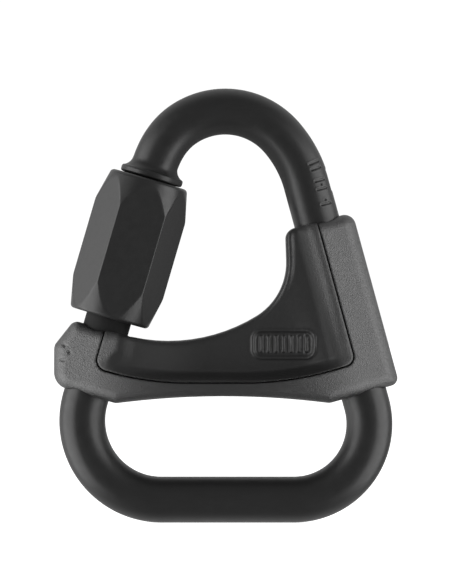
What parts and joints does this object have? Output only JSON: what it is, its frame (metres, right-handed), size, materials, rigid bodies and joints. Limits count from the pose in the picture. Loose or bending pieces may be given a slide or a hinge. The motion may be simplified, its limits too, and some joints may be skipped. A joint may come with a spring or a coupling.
{
  "type": "delta screw quick link with positioning bar",
  "caption": "Triangular black steel screw link closed by a hexagonal screw sleeve on one leg, with a snap-together plastic bar that divides it into an upper bow and a lower webbing slot.",
  "frame": {"origin": "below the middle of the whole, level with the underside of the base rod", "axes": "+Z from the base rod to the bow, +Y through the link from its front to its back, +X from the sleeve's leg to the plain leg"},
  "size_m": [0.0596, 0.016, 0.0753],
  "materials": {
    "link_steel": "satin black coated steel",
    "sleeve_steel": "matt black coated steel",
    "grained_plastic": "black plastic with a fine moulded grain",
    "smooth_plastic": "smooth black plastic, lightly grained along its rim"
  },
  "bodies": {
    "link": {"link_body": "link_steel", "bar_shell": "grained_plastic"},
    "sleeve_carriage": {"sleeve_thread_liner": "sleeve_steel"},
    "sleeve": {"screw_sleeve": "sleeve_steel"},
    "insert": {"bar_insert": "smooth_plastic"}
  },
  "joints": [
    {"name": "sleeve_advance", "type": "slide", "parent": "link", "child": "sleeve_carriage", "axis": [-0.2805, 0, -0.9598], "range_m": [0, 0.00125]},
    {"name": "sleeve_spin", "type": "hinge", "parent": "sleeve_carriage", "child": "sleeve", "pos_m": [-0.01667, 0, 0.04749], "axis": [-0.2805, 0, -0.9598], "range_deg": [0, 360]},
    {"name": "insert_unclip", "type": "slide", "parent": "link", "child": "insert", "axis": [0, -1, 0], "range_m": [0, 0.018]}
  ],
  "couplings": [
    {"joint": "sleeve_spin", "follows": "sleeve_advance", "rad_per_m": 5026.5}
  ]
}
